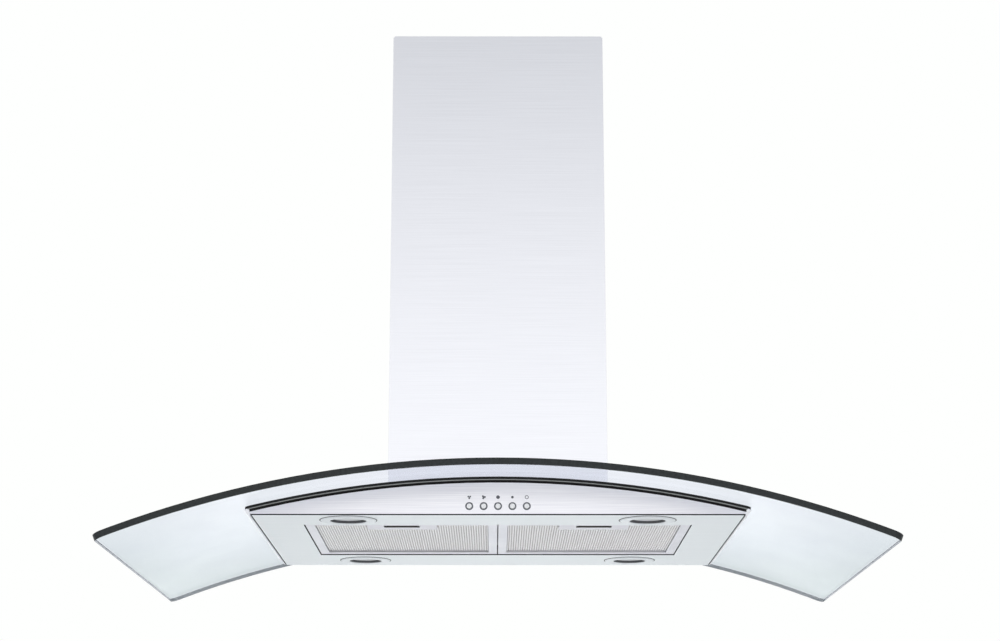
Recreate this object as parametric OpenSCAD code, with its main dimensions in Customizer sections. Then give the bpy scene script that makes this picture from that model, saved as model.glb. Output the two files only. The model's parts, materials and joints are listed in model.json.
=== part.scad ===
// Island range hood: ceiling-hung chimney, bent glass canopy, slim steel body, two grease filters.
// Millimetres. Ceiling plane at z = 0, +Z up, controls on the -Y side.

/* [Canopy] */
// Width of the glass across its curve
glass_w = 900; // [750:10:1200]
// Depth of the glass, front to back
glass_d = 600; // [500:10:750]
// Thickness of the glass
glass_t = 8; // [6:0.5:10]
// Bend radius of the glass's upper face
glass_r = 1225; // [1000:25:1600]
// Corner radius of the glass seen from above
glass_corner = 12; // [6:1:30]

/* [Body] */
// Width of the steel body
body_w = 570; // [470:5:700]
// Depth of the steel body
body_d = 434; // [360:2:520]
// Height of the body under the glass, on the centre line
body_h = 44; // [40:1:60]
// How far the deck's lip stands out past the body
lip = 5.5; // [2:0.5:10]
// Height of the dark groove between the lip and the fascia
groove = 2.2; // [1:0.1:4]

/* [Chimney] */
// Width and depth of the lower chimney cover
chimney_w = 262; // [220:2:320]
// Height of the lower cover on the centre line
cover_h = 565; // [460:1:650]
// Height of the upper cover
upper_h = 300; // [250:5:420]
// Thickness of the cover sheet
sheet = 0.8; // [0.6:0.1:1.5]

/* [Blower] */
// Height of the blower housing
blower_h = 226; // [200:0.5:260]
// Outlet duct diameter
duct_d = 150; // [120:5:160]
// Number of blades on the impeller
blades = 32; // [20:1:40]

/* [Filters] */
// Front of the body to the filter opening
filter_front = 74; // [70:1:90]
// Filter opening to the back of the body
filter_rear = 98; // [95:1:110]
// Side of the body to the filter opening
filter_side = 56; // [50:1:70]
// Thickness of a filter
filter_t = 9; // [8:0.5:12]
// Width of the filter frame's rim
rim = 11; // [8:0.5:16]
// Pitch of the mesh's ribs
rib_pitch = 3; // [2.5:0.25:6]

/* [Lamps and buttons] */
// Outer diameter of a lamp's ring
lamp_d = 65.6; // [56:0.2:65.6]
// Clear diameter inside a lamp's ring
lamp_clear = 42; // [36:1:42]
// Distance between button centres
button_pitch = 16.5; // [15:0.5:19]
// Diameter of a button's bezel
bezel_d = 9.2; // [8.8:0.2:12]

/* [Hidden] */
$fn = 96;
reveal = 2;
arch_top = -(reveal + cover_h);
arch_z = arch_top - glass_r;
glass_in = glass_r - glass_t;
gasket_t = 3;
deck_r = glass_in - gasket_t;
deck_t = 1;
deck_in = deck_r - deck_t;
fascia_r = deck_in - groove;
fascia_t = 3;
skin = 1;
base_z = arch_z + glass_in - body_h;
pan_t = 1;
seam = 0.5;
fascia_z = base_z + pan_t + seam;
body_x = body_w / 2;
body_y = body_d / 2;
wall_y = body_y - fascia_t;
flange_w = 10;

half = chimney_w / 2;
upper_half = half - sheet - 0.4;
rail_half = upper_half - sheet - 3.5;
rail_t = 2;
rail_leg = 30;
lower_rail_half = rail_half - rail_t - 0.3;
blower_half = lower_rail_half - rail_t;
blower_z = arch_top + 5.5;
blower_top = blower_z + blower_h;
plate_t = 3;
rail_end = blower_top + 7;
slot_w = 5.6;
screw_z = -20;
travel = min(250, -rail_end - 40);
bolt_x = blower_half - 16.2;
cut_r = blower_half - 26.2;
duct_r = min(duct_d / 2, blower_half - 46.2);
collar_h = 50;
collar_wall = 2.5;
damper_z = blower_top + 37;
cable_y = blower_half - 20.2;

scroll_r = blower_half - 31.2;
scroll_x = 60;
scroll_y = blower_half - scroll_r - 15.2;
scroll_z = blower_z + scroll_r + 16.5;
wheel_r = scroll_r - 20;
wheel_x = 50;
motor_r = wheel_r - 30;

open_x = body_x - filter_side;
open_y0 = -body_y + filter_front;
open_y1 = body_y - filter_rear;
gap = 1.2;
side_gap = 0.9;
filter_w = open_x - side_gap - gap / 2;
filter_y0 = open_y0 + 1.25;
filter_y1 = open_y1 - 1.25;
filter_d = filter_y1 - filter_y0;
filter_cx = (filter_w + gap) / 2;
filter_z = base_z + 1;
mesh_x = filter_w - 2 * rim;
ribs = floor(mesh_x / rib_pitch);
latch_w = 83;
latch_d = 34;
latch_y = filter_y0 + rim + 1;

lamp_x = open_x - 55;
lamp_y = [-body_y + 38, body_y - 48];
lamp_cup_r = 24.3;
button_z = base_z + 10.4;
icon_z = base_z + 20.8;
button_x = [for (i = [-2:2]) i * button_pitch];
bezel_in = 3.3;
cap_r = 3;
face_y = -body_y;

ceiling_plate();
ceiling_tabs();
upper_rails();
upper_cover_front();
upper_cover_rear();
upper_cover_screws();
lower_rails();
rail_screws();
lower_cover_front();
lower_cover_rear();
cover_spacers();
lower_cover_screws();
blower_housing();
blower_scroll();
motor();
motor_bracket();
impeller();
outlet_collar();
damper_pin();
damper_left();
damper_right();
junction_box();
junction_box_lid();
cable_gland();
canopy_glass();
upper_gasket();
lower_gasket();
canopy_bolts();
canopy_bushes();
body_shell();
front_fascia();
rear_fascia();
fascia_seals();
pan_seal();
bottom_pan();
pan_brackets();
pan_screws();
switch_bank();
button_bezels();
panel_icons();
push_button(0);  // button_1
push_button(1);  // button_2
push_button(2);  // button_3
push_button(3);  // button_4
push_button(4);  // button_5
lamp_rings();
lamp_lenses();
lamp_cups();
filter_frame(-1);  // filter_frame_left
filter_frame(1);  // filter_frame_right
filter_mesh(-1);  // filter_mesh_left
filter_mesh(1);  // filter_mesh_right
latch_plate(-1);  // latch_plate_left
latch_plate(1);  // latch_plate_right
latch_slider(-1);  // latch_slider_left
latch_slider(1);  // latch_slider_right
latch_spring(-1);  // latch_spring_left
latch_spring(1);  // latch_spring_right

// ---- helpers ----

// Box from two opposite corners.
module span(x0, x1, y0, y1, z0, z1) {
    translate([x0, y0, z0]) cube([x1 - x0, y1 - y0, z1 - z0]);
}

// Upright box, centred in plan, with rounded vertical edges.
module rbox(w, d, z0, z1, r) {
    span(-w / 2 + r, w / 2 - r, -d / 2, d / 2, z0, z1);
    span(-w / 2, w / 2, -d / 2 + r, d / 2 - r, z0, z1);
    for (x = [-1, 1], y = [-1, 1])
        translate([x * (w / 2 - r), y * (d / 2 - r), z0]) cylinder(r = r, h = z1 - z0);
}

// Solid cylinder on the canopy's axis of bend, running front to back.
module arch(r) {
    translate([0, 0, arch_z]) rotate([90, 0, 0]) cylinder(r = r, h = 2 * glass_d, center = true, $fn = 360);
}

// Bent sheet between two radii, everywhere above the axis.
module arch_sheet(outer, inner) {
    difference() {
        arch(outer);
        arch(inner);
        span(-2 * glass_r, 2 * glass_r, -2 * glass_d, 2 * glass_d, arch_z - 2 * glass_r, arch_z + glass_r / 2);
    }
}

module x_cyl(x0, x1, y, z, r) {
    translate([x0, y, z]) rotate([0, 90, 0]) cylinder(r = r, h = x1 - x0);
}

module y_cyl(x, y0, y1, z, r) {
    translate([x, y0, z]) rotate([-90, 0, 0]) cylinder(r = r, h = y1 - y0);
}

module z_cyl(x, y, z0, z1, r) {
    translate([x, y, z0]) cylinder(r = r, h = z1 - z0);
}

module four(x, y) {
    for (i = [-1, 1], j = [-1, 1]) translate([i * x, j * y, 0]) children();
}

module four_mirror() {
    for (i = [0, 1], j = [0, 1]) mirror([i, 0, 0]) mirror([0, j, 0]) children();
}

// Four-sided tube split at y = 0; side is -1 for the front half and 1 for the back half.
module half_tube(h, z0, z1, side) {
    difference() {
        span(-h, h, side < 0 ? -h : 0.15, side < 0 ? -0.15 : h, z0, z1);
        span(-h + sheet, h - sheet, -h + sheet, h - sheet, z0 - 1, z1 + 1);
    }
}

module angle_rail(h, leg, z0, z1) {
    four_mirror() difference() {
        span(h - leg, h, h - leg, h, z0, z1);
        span(h - leg - 1, h - rail_t, h - leg - 1, h - rail_t, z0 - 1, z1 + 1);
    }
}

// ---- ceiling side ----

module ceiling_plate() {
    plate = upper_half - sheet;
    color("silver") difference() {
        span(-plate, plate, -plate, plate, -plate_t, 0);
        z_cyl(0, 0, -plate_t - 1, 1, duct_r + 3);
        z_cyl(0, cable_y, -plate_t - 1, 1, 9);
        four(plate - 29, plate - 29) z_cyl(0, 0, -plate_t - 1, 1, 4.5);
    }
}

// Two angle brackets under the plate that take the upper cover's screws.
module ceiling_tabs() {
    plate = upper_half - sheet;
    color("silver") difference() {
        for (i = [0, 1]) mirror([i, 0, 0]) {
            span(plate - 2, plate, -40, 40, -25, -plate_t);
            span(plate - 22, plate, -40, 40, -plate_t - 2, -plate_t);
        }
        upper_screw_bodies();
    }
}

// Countersunk screws that hold the upper cover to the ceiling plate's tabs.
module upper_screw_bodies() {
    for (x = [0, 1], y = [-25, 25]) mirror([x, 0, 0]) {
        translate([upper_half - 1.8, y, -14]) rotate([0, 90, 0]) cylinder(r1 = 2, r2 = 3.6, h = 1.8);
        x_cyl(upper_half - 9, upper_half - 1.7, y, -14, 2);
    }
}

module upper_cover_screws() {
    color("dimgray") difference() {
        upper_screw_bodies();
        for (y = [-25, 25]) {
            span(-half, half, y - 0.4, y + 0.4, -16, -12);
        }
        span(-upper_half + 9.5, upper_half - 9.5, -40, 40, -20, -8);
    }
}

module upper_rails() {
    color("silver") difference() {
        angle_rail(rail_half, rail_leg, rail_end, -plate_t);
        four_mirror() {
            rail_slot();
            mirror([1, -1, 0]) rail_slot();
        }
    }
}

module rail_slot() {
    y = rail_half - 17;
    span(rail_half - rail_t - 1, rail_half + 1, y - slot_w / 2, y + slot_w / 2, screw_z - travel, screw_z);
    for (z = [screw_z, screw_z - travel]) x_cyl(rail_half - rail_t - 1, rail_half + 1, y, z, slot_w / 2);
}

module upper_cover(side) {
    color("gainsboro") difference() {
        half_tube(upper_half, -upper_h, 0, side);
        upper_screw_bodies();
        for (x = [0, 1], i = [0:5]) mirror([x, 0, 0]) vent_slot(side, -48 - 14 * i);
    }
}

// Long vent slot with round ends through the side wall.
module vent_slot(side, z) {
    y0 = side * 30;
    y1 = side * 95;
    span(upper_half - 2, upper_half + 1, min(y0, y1), max(y0, y1), z - 2.5, z + 2.5);
    for (y = [y0, y1]) x_cyl(upper_half - 2, upper_half + 1, y, z, 2.5);
}

module upper_cover_front() {
    upper_cover(-1);
}

module upper_cover_rear() {
    upper_cover(1);
}

// ---- hood side: rails, covers ----

module lower_rails() {
    color("silver") difference() {
        angle_rail(lower_rail_half, rail_leg - 2.3, blower_top - 120, screw_z + 13);
        rail_screw_shanks(2.55);
    }
}

module rail_screw_shanks(r) {
    y = rail_half - 17;
    four_mirror() {
        x_cyl(blower_half - 5, rail_half + 0.3, y, screw_z, r);
        mirror([1, -1, 0]) x_cyl(blower_half - 5, rail_half + 0.3, y, screw_z, r);
    }
}

// Slot screws: head outside the upper rail, square nut inside the lower one.
module rail_screws() {
    y = rail_half - 17;
    color("dimgray") {
        rail_screw_shanks(2.5);
        four_mirror() {
            rail_screw_ends(y);
            mirror([1, -1, 0]) rail_screw_ends(y);
        }
    }
}

module rail_screw_ends(y) {
    x_cyl(rail_half + 0.25, rail_half + 2.4, y, screw_z, 4.4);
    span(blower_half - 4, blower_half, y - 4, y + 4, screw_z - 4, screw_z + 4);
}

module lower_cover(side) {
    color("gainsboro") difference() {
        half_tube(half, arch_top - 20, -reveal, side);
        arch(glass_r);
        cover_screw_shanks(2.1);
    }
}

module lower_cover_front() {
    lower_cover(-1);
}

module lower_cover_rear() {
    lower_cover(1);
}

module cover_screw_shanks(r) {
    for (x = [0, 1], y = [-32, 32]) mirror([x, 0, 0]) x_cyl(blower_half + 1.5, half + 0.1, y, blower_z + 50, r);
}

// Blocks on the blower housing that the lower cover is screwed to.
module cover_spacers() {
    color("dimgray") difference() {
        for (x = [0, 1], y = [-32, 32]) mirror([x, 0, 0])
            span(blower_half, half - sheet, y - 10, y + 10, blower_z + 40, blower_z + 60);
        cover_screw_shanks(2);
    }
}

module lower_cover_screws() {
    color("silver") difference() {
        union() {
            cover_screw_shanks(2);
            for (x = [0, 1], y = [-32, 32]) mirror([x, 0, 0]) x_cyl(half, half + 1.8, y, blower_z + 50, 3.8);
        }
        for (x = [0, 1], y = [-32, 32]) mirror([x, 0, 0]) {
            span(half + 1, half + 2, y - 2.4, y + 2.4, blower_z + 49.6, blower_z + 50.4);
            span(half + 1, half + 2, y - 0.4, y + 0.4, blower_z + 47.6, blower_z + 52.4);
        }
    }
}

// ---- blower ----

module blower_housing() {
    b = blower_half;
    color("lightgray") difference() {
        span(-b, b, -b, b, blower_z, blower_top);
        span(-b + 1, b - 1, -b + 1, b - 1, blower_z + 1, blower_top - 1);
        z_cyl(0, 0, blower_z - 1, blower_z + 2, cut_r + 2);
        z_cyl(0, 0, blower_top - 2, blower_top + 1, duct_r - collar_wall);
        four(bolt_x, bolt_x) z_cyl(0, 0, blower_z - 1, blower_z + 2, 3.2);
    }
}

// Scroll with its outlet up through the housing's top, open at both sides.
module blower_scroll() {
    t = 2;
    color("#2c2d30") difference() {
        union() {
            x_cyl(-scroll_x, scroll_x, scroll_y, scroll_z, scroll_r);
            span(-scroll_x, scroll_x, scroll_y - scroll_r + 0.5, scroll_y + 44, scroll_z, blower_top - 1);
        }
        x_cyl(-scroll_x + t, scroll_x - t, scroll_y, scroll_z, scroll_r - t);
        span(-scroll_x + t, scroll_x - t, scroll_y - scroll_r + t + 0.5, scroll_y + 44 - t, scroll_z, blower_top);
        x_cyl(-scroll_x - 1, scroll_x + 1, scroll_y, scroll_z, wheel_r - 9);
    }
}

module motor() {
    color("#3a3c40") {
        x_cyl(8, scroll_x, scroll_y, scroll_z, motor_r);
        x_cyl(scroll_x, scroll_x + 2, scroll_y, scroll_z, 12);
        for (a = [0:30:330]) translate([0, scroll_y, scroll_z]) rotate([a, 0, 0])
            span(14, scroll_x - 4, -1.5, 1.5, motor_r - 2, motor_r + 2);
    }
    color("silver") x_cyl(-14, 8, scroll_y, scroll_z, 4);
}

// Three arms across the inlet that carry the motor.
module motor_bracket() {
    color("gray") difference() {
        union() {
            x_cyl(scroll_x, scroll_x + 2, scroll_y, scroll_z, motor_r - 6);
            for (a = [30:120:270]) translate([0, scroll_y, scroll_z]) rotate([a, 0, 0])
                span(scroll_x, scroll_x + 2, -7, 7, motor_r - 12, wheel_r - 2);
        }
        x_cyl(scroll_x - 1, scroll_x + 3, scroll_y, scroll_z, 12);
    }
}

// Twin-inlet drum wheel: centre disc, two end rings and a row of blades.
module impeller() {
    color("#46484d") translate([0, scroll_y, scroll_z]) {
        difference() {
            union() {
                x_cyl(-1.5, 1.5, 0, 0, wheel_r);
                x_cyl(-12, 5, 0, 0, 9);
            }
            x_cyl(-13, 6, 0, 0, 4.06);
        }
        for (x = [-1, 1]) difference() {
            x_cyl(x * wheel_x - 1.2, x * wheel_x + 1.2, 0, 0, wheel_r);
            x_cyl(x * wheel_x - 2, x * wheel_x + 2, 0, 0, wheel_r - 11);
        }
        for (i = [0:blades - 1]) rotate([i * 360 / blades, 0, 0]) translate([0, 0, wheel_r - 5.6])
            rotate([28, 0, 0]) cube([2 * wheel_x, 1, 10], center = true);
    }
}

module outlet_collar() {
    color("#2c2d30") difference() {
        union() {
            z_cyl(0, 0, blower_top, blower_top + 2, duct_r + 7);
            z_cyl(0, 0, blower_top, blower_top + collar_h, duct_r);
        }
        z_cyl(0, 0, blower_top - 1, damper_z - 1.8, duct_r - collar_wall - 3);
        z_cyl(0, 0, damper_z - 0.9, blower_top + collar_h + 1, duct_r - collar_wall);
        z_cyl(0, 0, damper_z - 2, damper_z, duct_r - collar_wall - 3);
        y_cyl(0, -duct_r - 1, duct_r + 1, damper_z, 1.5);
    }
}

module damper_pin() {
    color("silver") y_cyl(0, -duct_r, duct_r, damper_z, 1.5);
}

// Half-round flap on its own knuckles; dir is -1 for the left flap and 1 for the right one.
module damper(dir) {
    r = duct_r - collar_wall - 0.6;
    k = r / 6;
    shift = dir < 0 ? 0 : k;
    color("#55575c") difference() {
        union() {
            intersection() {
                z_cyl(0, 0, damper_z - 0.6, damper_z + 0.6, r);
                span(dir < 0 ? -r : 3.3, dir < 0 ? -3.3 : r, -r, r, damper_z - 1, damper_z + 1);
            }
            for (i = [-2:2:0]) {
                y0 = i * 2 * k + shift + 0.3 - (dir < 0 ? 0 : 0) + k / 2;
                y_cyl(0, y0, y0 + k - 0.6, damper_z, 2.7);
                span(min(0, dir * 4), max(0, dir * 4), y0, y0 + k - 0.6, damper_z - 0.6, damper_z + 0.6);
            }
        }
        y_cyl(0, -duct_r, duct_r, damper_z, 1.58);
    }
}

module damper_left() {
    damper(-1);
}

module damper_right() {
    damper(1);
}

module junction_box() {
    y = blower_half - 5.2;
    color("#26272a") difference() {
        span(-32, 32, y - 30, y, blower_top, blower_top + 38);
        span(-30, 30, y - 28, y + 1, blower_top + 2, blower_top + 36);
        z_cyl(0, cable_y, blower_top + 35, blower_top + 39, 6);
        z_cyl(-20, y - 15, blower_top + 35, blower_top + 39, 3);
    }
}

module junction_box_lid() {
    y = blower_half - 5.2;
    color("#26272a") {
        span(-32, 32, y, y + 2, blower_top, blower_top + 38);
        span(-29.8, 29.8, y - 3, y, blower_top + 2.2, blower_top + 3.7);
    }
}

module cable_gland() {
    color("#17181a") translate([0, cable_y, 0]) difference() {
        union() {
            z_cyl(0, 0, blower_top + 32, blower_top + 38, 6);
            translate([0, 0, blower_top + 38]) cylinder(r = 9, h = 4, $fn = 6);
            translate([0, 0, blower_top + 42]) cylinder(r1 = 7.5, r2 = 5.5, h = 8);
        }
        z_cyl(0, 0, blower_top + 31, blower_top + 51, 3.5);
    }
}

// ---- canopy ----

module canopy_glass() {
    color("#dfeef0", 0.4) difference() {
        intersection() {
            arch_sheet(glass_r, glass_in);
            rbox(glass_w, glass_d, arch_top - 200, arch_top + 10, glass_corner);
        }
        z_cyl(0, 0, arch_top - 40, arch_top + 10, cut_r);
        four(bolt_x, bolt_x) z_cyl(0, 0, arch_top - 40, arch_top + 10, 5.6);
    }
}

// Flat on top for the blower housing, arched below for the glass.
module upper_gasket() {
    b = blower_half;
    color("#1d1d1f") difference() {
        span(-b, b, -b, b, arch_top - 12, blower_z);
        arch(glass_r);
        z_cyl(0, 0, arch_top - 40, arch_top + 10, cut_r + 2);
        four(bolt_x, bolt_x) z_cyl(0, 0, arch_top - 40, arch_top + 10, 3.4);
    }
}

module lower_gasket() {
    b = blower_half;
    w = body_w + 2 * lip - 1;
    d = body_d + 2 * lip - 1;
    z0 = arch_top - 80;
    color("#1d1d1f") difference() {
        intersection() {
            arch_sheet(glass_in, deck_r);
            difference() {
                rbox(w, d, z0, arch_top, 6);
                difference() {
                    span(-w / 2 + 14, w / 2 - 14, -d / 2 + 14, d / 2 - 14, z0 - 1, arch_top + 1);
                    span(-b, b, -b, b, z0 - 2, arch_top + 2);
                }
            }
        }
        z_cyl(0, 0, z0, arch_top, cut_r + 2);
        four(bolt_x, bolt_x) z_cyl(0, 0, z0, arch_top, 3.4);
    }
}

module canopy_bolts() {
    z0 = arch_z + sqrt(deck_in * deck_in - bolt_x * bolt_x) - 1;
    color("silver") four(bolt_x, bolt_x) {
        z_cyl(0, 0, z0, blower_z + 9, 3);
        z_cyl(0, 0, z0 - 4, z0, 6.5);
        translate([0, 0, blower_z + 1]) cylinder(r = 5.7, h = 5, $fn = 6);
    }
}

module canopy_bushes() {
    color("ivory") intersection() {
        arch_sheet(glass_r - 0.05, glass_in + 0.05);
        four(bolt_x, bolt_x) difference() {
            z_cyl(0, 0, arch_top - 40, arch_top, 5.5);
            z_cyl(0, 0, arch_top - 41, arch_top + 1, 3.1);
        }
    }
}

// ---- body ----

// Deck under the glass with its lip, side walls, end walls and the flange that takes the pan.
module body_shell() {
    w = body_w + 2 * lip;
    d = body_d + 2 * lip;
    color("gainsboro") difference() {
        union() {
            intersection() {
                arch_sheet(deck_r, deck_in);
                rbox(w, d, base_z, arch_top, 6);
            }
            intersection() {
                arch(deck_in + 0.1);
                body_walls();
            }
        }
        z_cyl(0, 0, base_z, arch_top, cut_r);
        four(bolt_x, bolt_x) z_cyl(0, 0, base_z + 5, arch_top, 3.2);
        span(-2.5 * button_pitch - 3, 2.5 * button_pitch + 3, -wall_y - 1, -wall_y + 2, button_z - 6.5, button_z + 6.5);
    }
}

module body_walls() {
    difference() {
        span(-body_x, body_x, -wall_y, wall_y, base_z, arch_top);
        span(-body_x + skin, body_x - skin, -wall_y + skin, wall_y - skin, base_z - 1, arch_top + 1);
        span(-body_x + skin, body_x - skin, -body_y, body_y, base_z - 1, fascia_z);
    }
    difference() {
        span(-body_x + skin, body_x - skin, -wall_y + skin, wall_y - skin, fascia_z, fascia_z + 1);
        span(
            -body_x + skin + flange_w, body_x - skin - flange_w,
            -wall_y + flange_w, wall_y - flange_w, fascia_z - 1, fascia_z + 2
        );
    }
}

// Folded panel: a face with a shallow pocket behind it.
module fascia_panel() {
    difference() {
        intersection() {
            arch(fascia_r);
            span(-body_x, body_x, -body_y, -wall_y, fascia_z, arch_top);
        }
        intersection() {
            arch(fascia_r - 1.2);
            span(-body_x + 1.2, body_x - 1.2, -body_y + 1, -wall_y + 1, fascia_z + 1.2, arch_top);
        }
    }
}

module front_fascia() {
    color("gainsboro") difference() {
        fascia_panel();
        for (x = button_x) y_cyl(x, face_y - 1, face_y + 4, button_z, bezel_in + 0.8);
    }
}

module rear_fascia() {
    color("gainsboro") mirror([0, 1, 0]) fascia_panel();
}

// Black strips in the grooves above both fascias.
module fascia_seals() {
    color("#151516") for (j = [0, 1]) mirror([0, j, 0]) intersection() {
        arch_sheet(deck_in, fascia_r);
        span(-body_x, body_x, -body_y + 1.5, -wall_y, base_z, arch_top);
    }
}

module pan_seal() {
    color("#151516") difference() {
        span(-body_x + skin, body_x - skin, -body_y + 1.5, body_y - 1.5, base_z + pan_t, fascia_z);
        span(
            -body_x + skin + flange_w, body_x - skin - flange_w,
            -wall_y + flange_w, wall_y - flange_w, base_z, fascia_z + 1
        );
    }
}

module bottom_pan() {
    x = body_x - 2.8;
    color("gainsboro") difference() {
        union() {
            rbox(2 * x, body_d, base_z, base_z + pan_t, 2);
            span(-open_x - 1, open_x + 1, open_y0 - 1, open_y1 + 1, base_z, base_z + 13);
        }
        span(-open_x, open_x, open_y0, open_y1, base_z - 1, base_z + 14);
        for (x = [-1, 1], y = lamp_y) z_cyl(x * lamp_x, y, base_z - 1, base_z + 2, lamp_cup_r + 0.2);
        for (x = [-1, 1]) {
            span(
                x * filter_cx - 16, x * filter_cx + 16, open_y0 - 2, open_y0 + 1,
                filter_z + 4.8, filter_z + 7.6
            );
            for (i = [-1, 1]) {
                cx = x * filter_cx + i * filter_w / 3.4;
                span(cx - 11, cx + 11, open_y1 - 1, open_y1 + 2, base_z + pan_t, base_z + 14);
            }
        }
        pan_screw_shanks(1.7);
    }
}

module pan_screw_shanks(r) {
    for (i = [0, 1], y = [-70, 60]) mirror([i, 0, 0]) x_cyl(open_x - 0.2, open_x + 6, y, base_z + 9, r);
}

// Hangers from the deck to the filter opening's side flanges.
module pan_brackets() {
    color("silver") difference() {
        intersection() {
            arch(deck_in);
            for (i = [0, 1], y = [-70, 60]) mirror([i, 0, 0]) {
                span(open_x + 1, open_x + 2.5, y - 15, y + 15, base_z + 5, arch_top);
                difference() {
                    span(open_x + 1, open_x + 13, y - 15, y + 15, base_z + 5, arch_top);
                    arch(deck_in - 1.5);
                }
            }
        }
        pan_screw_shanks(1.6);
    }
}

module pan_screws() {
    color("dimgray") {
        pan_screw_shanks(1.5);
        for (i = [0, 1], y = [-70, 60]) mirror([i, 0, 0]) x_cyl(open_x - 0.6, open_x, y, base_z + 9, 3);
    }
}

// ---- controls ----

module switch_bank() {
    y0 = face_y + 10;
    color("#1f2023") difference() {
        union() {
            span(-2.5 * button_pitch - 3, 2.5 * button_pitch + 3, y0, y0 + 14, button_z - 6.4, button_z + 7);
            for (x = [0, 1]) mirror([x, 0, 0])
                span(2.5 * button_pitch + 3, 2.5 * button_pitch + 9, -wall_y + skin, y0 + 6, button_z - 5, button_z + 5);
        }
        for (x = button_x) y_cyl(x, y0 - 1, y0 + 9, button_z, 1.6);
    }
}

module button_bezels() {
    color("silver") for (x = button_x) difference() {
        union() {
            translate([x, face_y, button_z]) rotate([90, 0, 0])
                cylinder(r1 = bezel_d / 2, r2 = bezel_d / 2 - 0.5, h = 1);
            y_cyl(x, face_y, face_y + 4.5, button_z, bezel_in + 0.8);
        }
        y_cyl(x, face_y - 2, face_y + 6, button_z, bezel_in);
    }
}

module push_button(i) {
    x = button_x[i];
    color("white") {
        y_cyl(x, face_y - 1.6, face_y + 5.2, button_z, cap_r);
        translate([x, face_y - 1.6, button_z]) rotate([90, 0, 0]) cylinder(r1 = cap_r, r2 = cap_r - 0.5, h = 0.5);
        y_cyl(x, face_y + 5, face_y + 6, button_z, 4.2);
        y_cyl(x, face_y + 6, face_y + 12, button_z, 1.3);
    }
}

// Thin printed symbols: two fan speeds, two lamp levels and off.
module panel_icons() {
    y0 = face_y - 0.12;
    color("#6a6d72") {
        for (i = [0, 1], a = [90:120:330]) translate([button_x[i], 0, icon_z]) rotate([0, a + 20 * i, 0])
            translate([1.35, y0, 0]) rotate([-90, 0, 0]) cylinder(r = 0.95 + 0.15 * i, h = 0.12);
        for (i = [0, 1]) y_cyl(button_x[i], y0, face_y, icon_z, 0.6 + 0.2 * i);
        y_cyl(button_x[2], y0, face_y, icon_z, 2.1);
        y_cyl(button_x[3], y0, face_y, icon_z, 1.5);
        difference() {
            y_cyl(button_x[4], y0, face_y, icon_z, 2.2);
            y_cyl(button_x[4], y0 - 1, face_y + 1, icon_z, 1.5);
        }
    }
}

// ---- lamps ----

module at_lamps() {
    for (x = [-1, 1], y = lamp_y) translate([x * lamp_x, y, 0]) children();
}

module lamp_rings() {
    r = lamp_d / 2;
    c = lamp_clear / 2;
    color("silver") at_lamps() translate([0, 0, base_z]) rotate_extrude() polygon([
        [c + 0.8, -1.6], [r - 2.2, -1.6], [r, -0.4], [r, 0], [lamp_cup_r, 0], [lamp_cup_r, 7],
        [c + 1.6, 7], [c + 1.6, 2.2], [c, 2.2], [c, -0.8]
    ]);
}

module lamp_lenses() {
    color("#eef2f2", 0.7) at_lamps() z_cyl(0, 0, base_z + 2.2, base_z + 4.2, lamp_clear / 2 + 1.4);
}

module lamp_cups() {
    color("lightgray") at_lamps() difference() {
        z_cyl(0, 0, base_z + 7, base_z + 19, lamp_cup_r);
        z_cyl(0, 0, base_z + 6, base_z + 18, lamp_cup_r - 1.6);
        z_cyl(12, 0, base_z + 17, base_z + 20, 2.5);
    }
    color("ivory") at_lamps() z_cyl(0, 0, base_z + 16.4, base_z + 18, 9);
}

// ---- filters ----

module filter_frame(dir) {
    cx = dir * filter_cx;
    color("silver") difference() {
        union() {
            span(cx - filter_w / 2, cx + filter_w / 2, filter_y0, filter_y1, filter_z, filter_z + filter_t);
            for (i = [-1, 1]) {
                tx = cx + i * filter_w / 3.4;
                span(tx - 9, tx + 9, filter_y1 - 1, filter_y1 + 5.5, filter_z + 0.5, filter_z + 2.2);
            }
        }
        span(cx - mesh_x / 2, cx + mesh_x / 2, filter_y0 + rim, filter_y1 - rim, filter_z - 2, filter_z + 2);
        span(
            cx - mesh_x / 2 - 4, cx + mesh_x / 2 + 4, filter_y0 + rim - 4, filter_y1 - rim + 4,
            filter_z + 2, filter_z + 8
        );
        span(cx - mesh_x / 2, cx + mesh_x / 2, filter_y0 + rim, filter_y1 - rim, filter_z + 7, filter_z + 20);
        span(cx - 15.6, cx + 15.6, filter_y0 - 1, filter_y0 + rim + 1, filter_z + 5.1, filter_z + 7.1);
    }
}

// Pressed metal pad: ribs below run front to back, flat on top, with a window for the latch.
module filter_mesh(dir) {
    cx = dir * filter_cx;
    w = ribs * rib_pitch;
    teeth = [for (i = [0:ribs - 1], k = [0:2])
        [-w / 2 + (i + [0, 0.32, 0.62][k]) * rib_pitch, k == 0 ? 1.8 : (k == 1 ? 0 : 0.3)]];
    x1 = mesh_x / 2 + 3.8;
    color("lightgray") difference() {
        union() {
            translate([cx, filter_y1 - rim, filter_z + 2.2]) rotate([90, 0, 0])
                linear_extrude(height = filter_d - 2 * rim)
                    polygon(concat([[-w / 2, 3]], teeth, [[w / 2, 1.8], [w / 2, 3]]));
            span(cx - x1, cx + x1, filter_y0 + rim - 3.8, filter_y1 - rim + 3.8, filter_z + 5, filter_z + 7.8);
        }
        span(
            cx - latch_w / 2 - 0.2, cx + latch_w / 2 + 0.2, filter_y0, latch_y + latch_d + 0.2,
            filter_z, filter_z + 20
        );
    }
}

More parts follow.
